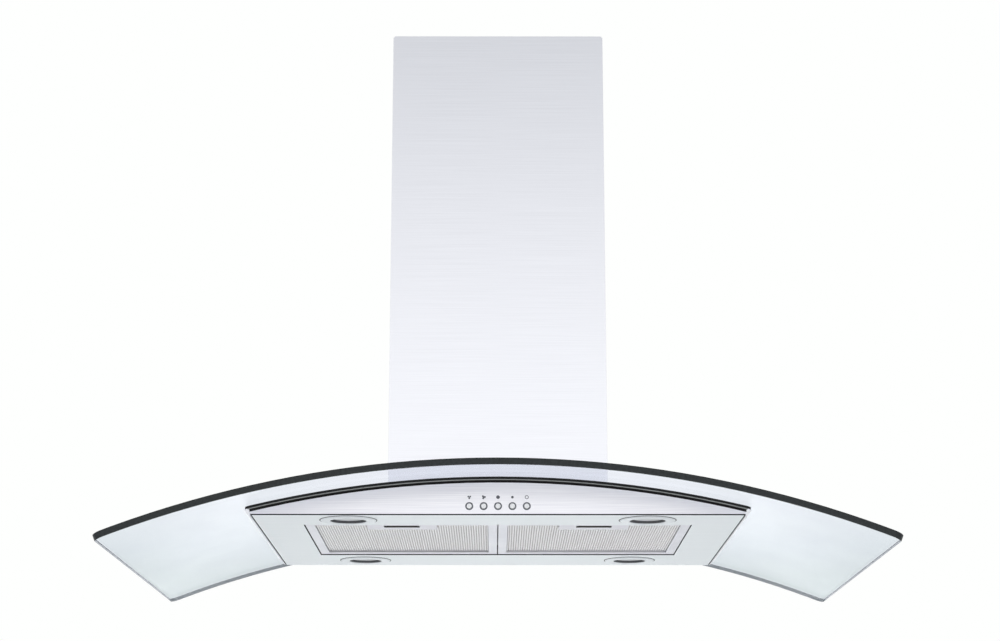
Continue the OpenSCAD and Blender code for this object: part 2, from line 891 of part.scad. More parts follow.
// Finger pocket: a shallow box with a slot in its visible face.
module latch_plate(dir) {
    x0 = dir * filter_cx - latch_w / 2;
    x1 = x0 + latch_w;
    y1 = latch_y + latch_d;
    z0 = filter_z + 0.2;
    color("silver") difference() {
        span(x0, x1, latch_y, y1, z0, z0 + 8.2);
        span(x0 + 1.2, x1 - 1.2, latch_y + 1.2, y1 - 1.2, z0 + 1.4, z0 + 7.2);
        span(x0 + 20.5, x1 - 20.5, latch_y + 2, latch_y + 17, z0 - 1, z0 + 2);
        span(x0 + latch_w / 2 - 15.6, x1 - latch_w / 2 + 15.6, latch_y - 1, latch_y + 2, z0 + 4.9, z0 + 6.9);
    }
}

module latch_slider(dir) {
    cx = dir * filter_cx;
    z0 = filter_z + 1.9;
    color("#3b3d41") {
        span(cx - 18, cx + 18, latch_y + 15.5, latch_y + 22, z0, z0 + 4.9);
        span(cx - 15, cx + 15, filter_y0 - 1, latch_y + 16, z0 + 3.5, z0 + 4.9);
    }
}

module latch_spring(dir) {
    cx = dir * filter_cx;
    color("dimgray") difference() {
        y_cyl(cx, latch_y + 22, latch_y + latch_d - 1.2, filter_z + 4.35, 2.2);
        y_cyl(cx, latch_y + 21, latch_y + latch_d, filter_z + 4.35, 1.5);
    }
}
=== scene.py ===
"""Island range hood: brushed steel chimney, bent glass canopy, slim body with lamps and grease filters.

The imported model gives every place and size. Metres, ceiling plane at z = 0, controls on the -Y side.
"""

import json
import math

import bpy
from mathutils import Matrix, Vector

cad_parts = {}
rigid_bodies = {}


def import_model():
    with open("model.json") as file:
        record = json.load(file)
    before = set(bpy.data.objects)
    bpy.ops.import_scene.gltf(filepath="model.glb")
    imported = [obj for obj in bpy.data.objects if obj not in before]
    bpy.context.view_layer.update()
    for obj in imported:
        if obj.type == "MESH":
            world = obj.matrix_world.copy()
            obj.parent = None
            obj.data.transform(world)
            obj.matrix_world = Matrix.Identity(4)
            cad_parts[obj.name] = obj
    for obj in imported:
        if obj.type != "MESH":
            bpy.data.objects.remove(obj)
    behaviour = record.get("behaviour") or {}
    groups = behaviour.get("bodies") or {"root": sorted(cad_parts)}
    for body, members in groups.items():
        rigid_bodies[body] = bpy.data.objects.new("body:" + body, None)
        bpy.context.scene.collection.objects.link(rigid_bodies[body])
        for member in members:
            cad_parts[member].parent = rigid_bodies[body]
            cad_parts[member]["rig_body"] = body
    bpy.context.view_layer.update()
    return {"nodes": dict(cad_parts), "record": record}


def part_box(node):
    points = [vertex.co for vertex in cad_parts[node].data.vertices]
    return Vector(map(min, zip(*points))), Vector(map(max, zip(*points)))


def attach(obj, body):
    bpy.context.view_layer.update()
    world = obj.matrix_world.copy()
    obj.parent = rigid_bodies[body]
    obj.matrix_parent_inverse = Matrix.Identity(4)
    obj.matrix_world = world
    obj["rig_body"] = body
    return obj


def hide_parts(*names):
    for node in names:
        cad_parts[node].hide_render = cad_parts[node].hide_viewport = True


MM = 0.001
FLOOR_Z = -2.35  # the room's floor, low enough to light the underside evenly
EYE = (-0.0041, -2.6543, -0.9978)  # a standing cook's eye, below the canopy
EYE_PITCH = 14.02  # degrees above level
EYE_YAW = -0.15  # degrees to the right
EYE_LENS = 77.21
RIB_PITCH = 2.99 * MM

GLASS_THICK = 8 * MM
GLASS_RADIUS = 1225 * MM  # bend of the upper face
GLASS_CORNER = 12 * MM
GLASS_ARRIS_MM = 0.9
AIR_HOLE_MM = 95  # radius of the air passage through the glass
BOLT_HOLE_MM = 5
BUSH_RADIUS = 5.5 * MM
LAMP_RADIUS = 32.8 * MM

# Wall colours by height, from level (0) to overhead (1).
FRONT_WALL = [
    (0.0, "F8F8F8"),
    (0.12, "FDFDFD"),
    (0.19, "FDFDFE"),
    (0.24, "EAEAEC"),
    (0.31, "D8D9DC"),
    (0.37, "B2B4B7"),
    (0.5, "A6A8AB"),
]
BACK_WALL = [
    (0.09, "DFE6E0"),
    (0.124, "DFE6E1"),
    (0.138, "E9EEEC"),
    (0.152, "F4F7F5"),
    (0.175, "FFFFFF"),
    (0.5, "CDCFD2"),
]

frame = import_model()
nodes = frame["nodes"]


# ---- small tools ----


def hex_to_linear(code):
    """A colour from its sRGB hex code, as the linear values that shaders take."""
    parts = [int(code[i : i + 2], 16) / 255 for i in (0, 2, 4)]
    return tuple(c / 12.92 if c <= 0.04045 else ((c + 0.055) / 1.055) ** 2.4 for c in parts) + (1.0,)


def add_node(owner, kind, links=(), **settings):
    """Adds one node. Settings are attributes, input names or ramp stops; links are (socket, input) pairs."""
    node = owner.node_tree.nodes.new(kind)
    for key, value in settings.items():
        if key == "stops":
            steps = node.color_ramp.elements
            while len(steps) < len(value):
                steps.new(0.5)
            for step, (position, code) in zip(steps, value):
                step.position, step.color = position, hex_to_linear(code)
        elif hasattr(node, key):
            setattr(node, key, value)
        else:
            node.inputs[key.replace("_", " ")].default_value = value
    for socket, place in links:
        owner.node_tree.links.new(socket, node.inputs[place])
    return node


def new_material(name, **settings):
    """A material with its Principled shader, and that shader to link to."""
    material = bpy.data.materials.new(name)
    material.use_nodes = True
    shader = material.node_tree.nodes["Principled BSDF"]
    for key, value in settings.items():
        shader.inputs[key.replace("_", " ")].default_value = value
    return material, shader


def only(*objects):
    """Selects these objects alone; the first one is active."""
    bpy.ops.object.select_all(action="DESELECT")
    for obj in objects:
        obj.hide_set(False)
        obj.select_set(True)
    bpy.context.view_layer.objects.active = objects[0]


def start(obj):
    """Opens edit mode with all of one object selected."""
    only(obj)
    bpy.ops.object.mode_set(mode="EDIT")
    bpy.ops.mesh.select_all(action="SELECT")


def done():
    bpy.ops.object.mode_set(mode="OBJECT")


def pick_edges(obj, test):
    """Opens edit mode with only the edges selected whose two ends pass the test."""
    start(obj)
    bpy.ops.mesh.select_mode(type="EDGE")
    bpy.ops.mesh.select_all(action="DESELECT")
    done()
    points = [v.co for v in obj.data.vertices]
    for edge in obj.data.edges:
        edge.select = test(points[edge.vertices[0]], points[edge.vertices[1]])
    bpy.ops.object.mode_set(mode="EDIT")


def apply_modifier(obj, kind, **settings):
    only(obj)
    modifier = obj.modifiers.new(kind.title(), kind)
    for key, value in settings.items():
        setattr(modifier, key, value)
    bpy.ops.object.modifier_apply(modifier=modifier.name)


def break_edges(obj, width_mm, segments=2, angle=35):
    """Rounds every sharp edge a little, as deburring does."""
    apply_modifier(
        obj,
        "BEVEL",
        width=width_mm * MM,
        segments=segments,
        limit_method="ANGLE",
        angle_limit=math.radians(angle),
        use_clamp_overlap=True,
    )


def settle(obj):
    """Puts a piece's place and turn into its mesh."""
    only(obj)
    bpy.ops.object.transform_apply(location=True, rotation=True, scale=True)


def hand_over(obj, name, finish, body, stands_for=(), angle=35):
    """Names a piece, gives it finish and smooth shading, and ties it to its body and CAD nodes."""
    obj.name = name
    obj.data.name = name
    if finish is not None:
        obj.data.materials.clear()
        obj.data.materials.append(finish)
    settle(obj)
    bpy.ops.object.shade_smooth_by_angle(angle=math.radians(angle))
    apply_modifier(obj, "WEIGHTED_NORMAL", keep_sharp=True)
    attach(obj, body)
    if stands_for:
        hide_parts(*stands_for)
    return obj


def copy_of(obj):
    only(obj)
    bpy.ops.object.duplicate()
    return bpy.context.object


def joined(objects):
    only(*objects)
    if len(objects) > 1:
        bpy.ops.object.join()
    return objects[0]


def merged_copy(node):
    """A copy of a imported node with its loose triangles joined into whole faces."""
    obj = copy_of(nodes[node])
    obj.parent = None
    for key in [k for k in obj.keys() if k.startswith("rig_")]:
        del obj[key]
    start(obj)
    bpy.ops.mesh.remove_doubles(threshold=0.01 * MM)
    bpy.ops.mesh.dissolve_limited(angle_limit=math.radians(0.3))
    done()
    return obj


def refined(node, edge_mm, folds=()):
    """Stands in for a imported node: folds are rounded to their bend radius, edges are broken."""
    obj = merged_copy(node)
    for test, radius_mm in folds:
        pick_edges(obj, test)
        bpy.ops.mesh.bevel(offset=radius_mm * MM, segments=5, affect="EDGES", clamp_overlap=True)
        done()
    break_edges(obj, edge_mm)
    finish = nodes[node].data.materials[0]
    return hand_over(obj, node + "_finished", finish, nodes[node]["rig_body"], [node])


def turned(profile, place=(0, 0, 0), turn=(0, 0, 0), steps=64):
    """A turned piece from (radius, height) points in mm. A profile that ends where it began is a ring."""
    ring = profile[0] == profile[-1]
    radius, height = profile[0]
    bpy.ops.object.select_all(action="DESELECT")
    bpy.ops.mesh.primitive_circle_add(
        vertices=steps, radius=radius * MM, fill_type="NOTHING" if ring else "NGON", location=(0, 0, 0)
    )
    obj = bpy.context.object
    start(obj)
    bpy.ops.transform.translate(value=(0, 0, height * MM))
    for (r0, z0), (r1, z1) in zip(profile, profile[1:]):
        if ring:
            bpy.ops.mesh.extrude_edges_move(TRANSFORM_OT_translate={"value": (0, 0, (z1 - z0) * MM)})
        else:
            bpy.ops.mesh.extrude_region_move(TRANSFORM_OT_translate={"value": (0, 0, (z1 - z0) * MM)})
        bpy.ops.transform.resize(value=(r1 / r0, r1 / r0, 1), center_override=(0, 0, z1 * MM))
    bpy.ops.mesh.select_all(action="SELECT")
    bpy.ops.mesh.remove_doubles(threshold=0.002 * MM)
    bpy.ops.mesh.normals_make_consistent(inside=False)
    done()
    obj.rotation_euler = [math.radians(a) for a in turn]
    obj.location = place
    settle(obj)
    return obj


def at_places(obj, places):
    """One piece made of copies of the first, each moved from where the first stands."""
    copies = []
    for place in places:
        twin = copy_of(obj)
        twin.location = place
        settle(twin)
        copies.append(twin)
    bpy.data.objects.remove(obj)
    return joined(copies)


# ---- finishes ----


def grain(material, along, width_mm, detail=3.0):
    """Noise in the piece's own metres, width_mm across and drawn out along the named axes.

    Real belt lines are 0.05 to 0.1 mm wide. They are drawn several times coarser, so that they show.
    """
    coords = add_node(material, "ShaderNodeTexCoord")
    fine = 1 / (width_mm * MM)
    size = [fine / 140 if axis in along else fine for axis in "XYZ"]
    place = add_node(material, "ShaderNodeMapping", [(coords.outputs["Object"], "Vector")], Scale=size)
    return add_node(
        material,
        "ShaderNodeTexNoise",
        [(place.outputs["Vector"], "Vector")],
        Scale=1.0,
        Detail=detail,
        Roughness=0.6,
    )


def surface(material, shader, pattern, dark, light, strength):
    """Gives a finish its two tones and its fine relief from one pattern."""
    fac = pattern.outputs["Fac"]
    tone = add_node(material, "ShaderNodeValToRGB", [(fac, "Fac")], stops=[(0.3, dark), (0.7, light)])
    bump = add_node(material, "ShaderNodeBump", [(fac, "Height")], Strength=strength, Distance=0.0001)
    material.node_tree.links.new(tone.outputs["Color"], shader.inputs["Base Color"])
    material.node_tree.links.new(bump.outputs["Normal"], shader.inputs["Normal"])


def brushed(name, dark, light, along, width_mm=0.9, rough=0.34, strength=0.1):
    """Belt-brushed metal: long fine lines that soften reflections across their run."""
    material, shader = new_material(name, Metallic=1.0, Roughness=rough)
    surface(material, shader, grain(material, along, width_mm), dark, light, strength)
    return material


def moulded(name, dark, light, rough, grit_mm=0.6, strength=0.15, **settings):
    """Moulded or coated part with the fine grit of its tool or powder."""
    material, shader = new_material(name, Roughness=rough, **settings)
    surface(material, shader, grain(material, "", grit_mm, detail=2.0), dark, light, strength)
    return material


def hot_dipped_zinc():
    """Galvanised sheet: flat zinc crystals about 7 mm across, each a slightly different grey."""
    material, shader = new_material("galvanised_sheet", Metallic=0.9, Roughness=0.42)
    coords = add_node(material, "ShaderNodeTexCoord")
    place = coords.outputs["Object"]
    crystals = add_node(material, "ShaderNodeTexVoronoi", [(place, "Vector")], Scale=1 / (7 * MM))
    greys = [(0, "8C9195"), (1, "B4B9BD")]
    tone = add_node(material, "ShaderNodeValToRGB", [(crystals.outputs["Color"], "Fac")], stops=greys)
    material.node_tree.links.new(tone.outputs["Color"], shader.inputs["Base Color"])
    return material


def float_glass():
    """Toughened float glass, 8 mm, cold in tint. Its low IOR keeps the fascia's mirror image faint."""
    material, shader = new_material("toughened_glass_face", Roughness=0.0, IOR=1.02)
    shader.inputs["Transmission Weight"].default_value = 1.0
    haze = grain(material, "", 60, detail=1.0)
    tints = [(0.3, "E5E8F0"), (0.7, "E9ECF3")]
    tone = add_node(material, "ShaderNodeValToRGB", [(haze.outputs["Fac"], "Fac")], stops=tints)
    material.node_tree.links.new(tone.outputs["Color"], shader.inputs["Base Color"])
    return material


def etched_lens():
    """Etched lamp glass: milky, speckled by the acid, it hides the lamp behind."""
    material, shader = new_material("etched_lamp_glass", Roughness=0.4, IOR=1.5)
    shader.inputs["Transmission Weight"].default_value = 0.12
    surface(material, shader, grain(material, "", 0.5), "E9EBEC", "F8F9FA", 0.3)
    return material


# 304 stainless sheet, belt brushed across the width; the lines show as faint streaks.
CHIMNEY_STEEL = brushed("brushed_stainless_chimney", "E7E8EC", "EEEFF3", "XY", 0.9, rough=0.28)
BODY_STEEL = brushed("brushed_stainless_body", "E3E3E9", "F6F6F9", "XY", 0.8)
PAN_STEEL = brushed("brushed_stainless_pan", "E9EEEF", "F3F6F7", "X", 0.9, rough=0.42)
ZINC_SHEET = hot_dipped_zinc()
# Edge of the deck sheet's lip: darker steel than its face, as painted shade.
LIP_EDGE_SHADE = brushed("stainless_lip_edge_painted_shade", "8B8D89", "A9ABA7", "XY", 0.5, rough=0.4)
# Zinc-plated steel screws and nuts: bright with turning marks.
PLATED_STEEL = brushed("zinc_plated_fixings", "9C9EA2", "B9BBBE", "Z", 0.4, rough=0.3)
# ABS housings, dull black from a spark-eroded tool.
BLACK_ABS = moulded("moulded_abs_black", "17181A", "202124", 0.5)
# Glass-filled nylon wheel, a little rougher and greyer.
WHEEL_NYLON = moulded("glass_filled_nylon_black", "1F2023", "2B2C30", 0.55, grit_mm=0.4, strength=0.25)
# Polypropylene flaps, waxy grey.
FLAP_PLASTIC = moulded("moulded_polypropylene_grey", "4C4F54", "5C5F65", 0.5)
# Natural nylon bushes, creamy.
BUSH_NYLON = moulded("natural_nylon", "DAD6C9", "E8E4D8", 0.45)
# EPDM foam strip, near black and matt. The same black is painted as shade on the deck lip's underside, the
# pan's edges and round the lamp rings.
SEAL_RUBBER_AND_SHADE = moulded("epdm_seal_black_and_painted_shade", "090909", "121213", 0.7, grit_mm=0.4, strength=0.3)
# Powder coat on the motor can.
MOTOR_COAT = moulded("powder_coat_black", "1F2023", "2C2D31", 0.5, grit_mm=0.3, strength=0.35)
# Screen-printed symbols, semi-matt grey ink.
SYMBOL_INK = moulded("screen_print_grey", "54565C", "62646A", 0.6, grit_mm=0.3, strength=0.05)
# Polycarbonate push caps, glossy white.
CAP_WHITE = moulded("moulded_polycarbonate_white", "FBFCFD", "FFFFFF", 0.3, strength=0.02)
# Satin chrome rings round the caps, turned.
BEZEL_CHROME = brushed("satin_chrome_ring", "6E7177", "82858B", "XZ", 0.3, rough=0.3)
# Satin nickel lamp rings, turned.
LAMP_RING_METAL = brushed("satin_nickel_lamp_ring", "DCE0E2", "EBEEF0", "XY", 0.5, rough=0.34)
# Dark grey sleeve inside each lamp ring, painted as the shade in its recess.
LAMP_RECESS_SHADE = moulded("lamp_recess_painted_shade", "4E4F51", "5E5F61", 0.6)
# Anodised aluminium filter frames, satin with a faint lilac cast.
FRAME_ALUMINIUM = brushed("anodised_aluminium_frame", "E4E4E9", "F2F2F6", "XY", 0.7, rough=0.42)
# Rolled aluminium ribs, brighter on their crowns.
RIB_ALUMINIUM = brushed("rolled_aluminium_ribs", "F2F0F0", "FFFEFE", "Y", 0.8, rough=0.42)
# Layers of expanded mesh behind the ribs, dull and shadowed.
MESH_LAYERS = moulded(
    "expanded_mesh_layers", "B9B4B1", "DEDAD7", 0.7, grit_mm=1.2, strength=0.8, Metallic=0.5
)
# Anodised latch plate.
LATCH_PLATE = brushed("anodised_latch_plate", "DBDADF", "E8E7EC", "X", 0.6, rough=0.4)
# Dark acetal latch slider.
LATCH_ACETAL = moulded("moulded_acetal_dark", "4E4844", "625B56", 0.45)
GLASS_FACE = float_glass()
# Front edge of the glass: opaque near black, a touch green; the darkness is painted shade for the sheet's
# depth.
GLASS_FRONT_SHADE = moulded("glass_front_edge_painted_shade", "1B1F20", "2A2F30", 0.3, grit_mm=3, strength=0.0, IOR=1.33)
# Ground arrises along the front edge, painted darker still as shade.
GLASS_ARRIS_SHADE = moulded("glass_arris_painted_shade", "141617", "1E2122", 0.3, grit_mm=1, strength=0.05, IOR=1.5)
# Side edges, painted light grey as a painted reflection.
GLASS_SIDE_SHEEN = moulded("glass_side_edge_painted_reflection", "9BA2A3", "B0B6B7", 0.2, grit_mm=3, strength=0.0, IOR=1.5)
LENS_GLASS = etched_lens()

slot_of = {row["node"]: row["material_slot"] for row in frame["record"]["subparts"]}
finish_of_slot = {
    "galvanised_steel": ZINC_SHEET,
    "stainless_cover": CHIMNEY_STEEL,
    "stainless_body": BODY_STEEL,
    "steel_fixings": PLATED_STEEL,
    "black_plastic": BLACK_ABS,
    "motor_metal": MOTOR_COAT,
    "wheel_plastic": WHEEL_NYLON,
    "damper_plastic": FLAP_PLASTIC,
    "canopy_glass": GLASS_FACE,
    "black_rubber": SEAL_RUBBER_AND_SHADE,
    "nylon": BUSH_NYLON,
    "bezel_chrome": BEZEL_CHROME,
    "icon_print": SYMBOL_INK,
    "button_white": CAP_WHITE,
    "lamp_ring_metal": LAMP_RING_METAL,
    "lamp_glass": LENS_GLASS,
    "filter_aluminium": FRAME_ALUMINIUM,
    "mesh_aluminium": MESH_LAYERS,
    "latch_metal": LATCH_PLATE,
    "latch_plastic": LATCH_ACETAL,
}
for node, obj in nodes.items():
    obj.data.materials.clear()
    obj.data.materials.append(finish_of_slot[slot_of[node]])
nodes["bottom_pan"].data.materials[0] = PAN_STEEL


# ---- sheet metal ----


def upright_corner(half):
    """Tests for the long upright edges of a square tube, half its width out."""

    def test(a, b):
        return abs(a.z - b.z) > 0.05 and all(
            abs(abs(p.x) - half) < 0.0001 and abs(abs(p.y) - half) < 0.0001 for p in (a, b)
        )

    return test


def chimney_covers():
    """Both covers, folded at their four upright corners from 0.8 mm sheet."""
    for level in ("upper", "lower"):
        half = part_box(f"{level}_cover_front")[1].x
        for side in ("front", "rear"):
            refined(f"{level}_cover_{side}", 0.2, folds=[(upright_corner(half), 1.4)])


def repaint(obj, finish, test):
    """Gives a second finish to the faces whose centre and normal pass the test."""
    obj.data.materials.append(finish)
    for face in obj.data.polygons:
        if test(face.center, face.normal):
            face.material_index = len(obj.data.materials) - 1


def body_sheets():
    """Deck with its turned lip, fascias and pan, each with broken edges."""
    refined("front_fascia", 0.3)
    refined("rear_fascia", 0.3)
    shell = refined("body_shell", 0.25)
    face_y = -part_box("front_fascia")[0].y
    lip_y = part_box("body_shell")[1].y
    # The lip's front and rear edges are painted darker steel as painted shade.
    repaint(shell, LIP_EDGE_SHADE, lambda c, n: abs(c.y) > lip_y - 0.3 * MM and abs(n.y) > 0.3)
    # The lip's underside, beyond the fascia, is painted seal black as painted shade.
    repaint(shell, SEAL_RUBBER_AND_SHADE, lambda c, n: lip_y - 0.3 * MM > abs(c.y) > face_y + 0.2 * MM and n.z < -0.5)
    pan = refined("bottom_pan", 0.2)
    # Seal black painted on the pan's upright faces round its edge and its filter opening: partly the real
    # gasket line, partly painted shade in the gaps.
    repaint(pan, SEAL_RUBBER_AND_SHADE, lambda c, n: abs(n.z) < 0.8)


# ---- canopy glass ----


def canopy_sheet():
    """One flat section spun about the bend's axis, corners rounded, arrises ground, holes drilled."""
    low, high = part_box("canopy_glass")
    axis_z = high.z - GLASS_RADIUS
    sweep = math.asin(high.x / GLASS_RADIUS)
    bpy.ops.object.select_all(action="DESELECT")
    bpy.ops.mesh.primitive_plane_add(size=1, location=(0, 0, 0))
    obj = bpy.context.object
    start(obj)
    bpy.ops.transform.resize(value=(GLASS_THICK, high.y - low.y, 1), center_override=(0, 0, 0))
    bpy.ops.transform.rotate(value=math.pi / 2, orient_axis="Y", center_override=(0, 0, 0))
    bpy.ops.transform.translate(value=(0, 0, high.z - GLASS_THICK / 2))
    bpy.ops.transform.rotate(value=sweep, orient_axis="Y", center_override=(0, 0, axis_z))
    done()
    side = 1 if obj.data.vertices[0].co.x > 0 else -1
    start(obj)
    bpy.ops.mesh.spin(steps=40, angle=side * 2 * sweep, center=(0, 0, axis_z), axis=(0, 1, 0))
    bpy.ops.mesh.select_all(action="SELECT")
    bpy.ops.mesh.remove_doubles(threshold=0.02 * MM)
    bpy.ops.mesh.normals_make_consistent(inside=False)
    done()

    def corner(a, b):
        ends = all(abs(p.x) > high.x * 0.985 and abs(abs(p.y) - high.y) < 0.0001 for p in (a, b))
        return ends and (a - b).length < GLASS_THICK * 1.01

    pick_edges(obj, corner)
    bpy.ops.mesh.bevel(offset=GLASS_CORNER, segments=8, affect="EDGES", clamp_overlap=False)
    done()

    break_edges(obj, GLASS_ARRIS_MM, angle=40)
    drills = [turned([(AIR_HOLE_MM, -700), (AIR_HOLE_MM, -540)], steps=96)]
    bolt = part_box("canopy_bushes")[1].x - BUSH_RADIUS
    for x in (-1, 1):
        for y in (-1, 1):
            hole = [(BOLT_HOLE_MM, -700), (BOLT_HOLE_MM, -540)]
            drills.append(turned(hole, place=(x * bolt, y * bolt, 0), steps=24))
    drill = joined(drills)
    apply_modifier(obj, "BOOLEAN", object=drill, operation="DIFFERENCE", solver="EXACT")
    bpy.data.objects.remove(drill)

    obj.data.materials.clear()
    for finish in (GLASS_FACE, GLASS_FRONT_SHADE, GLASS_ARRIS_SHADE, GLASS_SIDE_SHEEN):
        obj.data.materials.append(finish)
    # Edge faces take the painted finishes: front edge and its arrises dark as shade, sides light grey as
    # reflection.
    for face in obj.data.polygons:
        centre, normal = face.center, face.normal
        reach = math.hypot(centre.x, centre.z - axis_z)
        facing = abs(normal.x * centre.x + normal.z * (centre.z - axis_z)) / reach
        if facing > 0.9:
            face.material_index = 0
        elif centre.y < low.y + GLASS_CORNER + 0.1 * MM:
            face.material_index = 1 if facing < 0.3 else 2
        else:
            face.material_index = 3
    return hand_over(obj, "canopy_glass_sheet", None, "hood", ["canopy_glass"], angle=18)


# ---- lamps and controls ----


def lamps():
    """Four recessed lamps: rolled ring with a beaded lip, pressed lens, a dark sleeve inside each ring as
    painted shade, and a black ring round it as a painted shadow line.
    """
    low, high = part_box("lamp_rings")
    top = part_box("bottom_pan")[0].z
    columns = (low.x + LAMP_RADIUS, high.x - LAMP_RADIUS)
    rows = (low.y + LAMP_RADIUS, high.y - LAMP_RADIUS)
    places = [(x, y, top) for x in columns for y in rows]
    ring = [(21, -0.8), (21.2, -1.3), (21.8, -1.6), (24, -1.6), (29.6, -1.6), (31.4, -1.2)]
    ring += [(32.5, -0.6), (32.8, 0), (24.3, 0), (24.3, 7), (22.6, 7), (22.6, 2.2), (21, 2.2), (21, -0.8)]
    rings = at_places(turned(ring), places)
    hand_over(rings, "lamp_rings_rolled", LAMP_RING_METAL, "hood", ["lamp_rings"])

    lens = [(22.4, 4.2), (22.4, 2.3), (20.4, 2.2), (17.6, 2.2), (17.2, 2.6), (16.8, 2.2)]
    lens += [(13.6, 2.2), (13.2, 2.6)]
    lens += [(12.8, 2.2), (9.6, 2.2), (9.2, 2.6), (8.8, 2.2), (5.6, 2.2), (5.2, 2.6), (4.8, 2.2), (0.4, 2.2)]
    lenses = at_places(turned(lens), places)
    hand_over(lenses, "lamp_lenses_pressed", LENS_GLASS, "hood", ["lamp_lenses"], angle=25)

    # A dark sleeve lining each ring's bore: painted shade in the recess.
    painted_sleeve = [(20.95, -0.7), (20.95, 2.15), (20.4, 2.15), (20.6, -0.7), (20.95, -0.7)]
    hand_over(at_places(turned(painted_sleeve), places), "lamp_recess_shade_sleeves", LAMP_RECESS_SHADE, "hood")
    # A black ring just outside each lamp ring: a painted shadow line round it.
    shadow_ring = [(33.5, -0.35), (33.5, -0.02), (32.0, -0.02), (32.0, -0.35), (33.5, -0.35)]
    hand_over(at_places(turned(shadow_ring), places), "lamp_ring_painted_shadow_lines", SEAL_RUBBER_AND_SHADE, "hood")


def controls():
    """Five satin rings, each with a dished white cap on its stem."""
    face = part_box("front_fascia")[0].y
    low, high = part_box("button_bezels")
    z = (low.z + high.z) / 2
    ring = [(3.3, -4.4), (4.1, -4.4), (4.1, 0), (4.6, 0), (4.6, 0.35), (4.35, 0.8), (3.95, 1), (3.55, 0.95)]
    ring += [(3.3, 0.7), (3.3, -4.4)]
    cap = [(1.3, -12), (1.3, -6), (4.2, -6), (4.2, -5), (3, -5), (3, 1.5)]
    cap += [(2.9, 1.85), (2.6, 2.05), (2.2, 2.1), (1.4, 1.95), (0.3, 1.9)]
    places = []
    for i in range(1, 6):
        button_low, button_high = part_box(f"button_{i}")
        place = ((button_low.x + button_high.x) / 2, face, z)
        places.append(place)
        button = turned(cap, place, (90, 0, 0), steps=40)
        hand_over(button, f"button_{i}_cap", CAP_WHITE, f"button_{i}", [f"button_{i}"])
    bezel = turned(ring, (0, 0, 0), (90, 0, 0), steps=48)
    bezels = at_places(bezel, places)
    hand_over(bezels, "button_bezels_turned", BEZEL_CHROME, "hood", ["button_bezels"])


# ---- grease filters ----


def rib(length):
    """One rolled rib, half round, its two ends pressed down to the mesh."""
    bpy.ops.object.select_all(action="DESELECT")
    bpy.ops.mesh.primitive_circle_add(vertices=10, radius=1 * MM, fill_type="NGON", location=(0, 0, 0))
    obj = bpy.context.object
    start(obj)
    bpy.ops.transform.rotate(value=math.pi / 2, orient_axis="X", center_override=(0, 0, 0))
    bpy.ops.transform.resize(value=(0.63, 1, 0.9), center_override=(0, 0, 0))
    tip, shoulder = (0.8 * MM, 1.2 * MM)
    middle = length - 2 * (tip + shoulder)
    steps = ((tip, 1.7), (shoulder, 1.08), (middle, 1), (shoulder, 1 / 1.08), (tip, 1 / 1.7))
    for step, swell in steps:
        bpy.ops.mesh.extrude_region_move(TRANSFORM_OT_translate={"value": (0, step, 0)})
        bpy.ops.transform.resize(value=(swell, 1, swell), center_override=(0, 0, 0))
    bpy.ops.mesh.select_all(action="SELECT")
    bpy.ops.mesh.normals_make_consistent(inside=False)
    done()
    return obj


def row_of_ribs(first_x, count, y0, y1, z):
    obj = rib(y1 - y0)
    apply_modifier(
        obj,
        "ARRAY",
        count=count,
        use_relative_offset=False,
        use_constant_offset=True,
        constant_offset_displace=(RIB_PITCH, 0, 0),
    )
    obj.location = (first_x, y0, z)
    settle(obj)
    return obj


def grease_filter(side):
    """Satin frame, rolled ribs over layers of expanded mesh, finger plate and latch."""
    refined(f"filter_frame_{side}", 0.45)
    plate = refined(f"latch_plate_{side}", 0.3)
    refined(f"latch_slider_{side}", 0.3)
    low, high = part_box(f"filter_frame_{side}")
    mesh_low, mesh_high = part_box(f"filter_mesh_{side}")
    plate_low, plate_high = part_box(f"latch_plate_{side}")

    # The plate's own faces in and round its finger slot are painted in the slider's dark acetal colour as
    # painted shade in the recess.
    def slot_painted_shade(c, n):
        inside = plate_low.x + 19 * MM < c.x < plate_high.x - 19 * MM and c.y < plate_low.y + 18.5 * MM
        return inside and plate_low.z + 0.1 * MM < c.z and (abs(n.z) < 0.8 or c.z > plate_low.z + 1 * MM)

    repaint(plate, LATCH_ACETAL, slot_painted_shade)

    layers = merged_copy(f"filter_mesh_{side}")
    start(layers)
    bpy.ops.mesh.bisect(
        plane_co=(0, 0, mesh_low.z + 1.9 * MM), plane_no=(0, 0, 1), clear_inner=True, use_fill=True
    )
    done()
    body = f"filter_{side}"
    stands_for = [f"filter_mesh_{side}"]
    hand_over(layers, f"filter_mesh_layers_{side}", MESH_LAYERS, body, stands_for)

    centre = (mesh_low.x + mesh_high.x) / 2
    y0 = mesh_low.y + 4.0 * MM
    y1 = mesh_high.y - 5.2 * MM
    z = mesh_low.z + 1.7 * MM
    beside, over = 20, 29
    first = centre - 34 * RIB_PITCH
    rows = [
        row_of_ribs(first, beside, y0, y1, z),
        row_of_ribs(first + beside * RIB_PITCH, over, plate_high.y + 0.4 * MM, y1, z),
        row_of_ribs(first + (beside + over) * RIB_PITCH, beside, y0, y1, z),
    ]
    hand_over(joined(rows), f"filter_ribs_{side}", RIB_ALUMINIUM, body, angle=60)


# ---- inner parts ----


def inner_parts():
    """Rails, brackets, housings and boxes with their edges broken."""
    for node, edge in (
        ("ceiling_plate", 0.4),
        ("ceiling_tabs", 0.3),
        ("upper_rails", 0.3),
        ("lower_rails", 0.3),
        ("outlet_collar", 0.4),
        ("junction_box", 0.6),
        ("junction_box_lid", 0.5),
        ("cable_gland", 0.4),
        ("switch_bank", 0.5),
        ("motor", 0.8),
        ("lower_cover_screws", 0.15),
    ):
        refined(node, edge)


# ---- room, light and camera ----


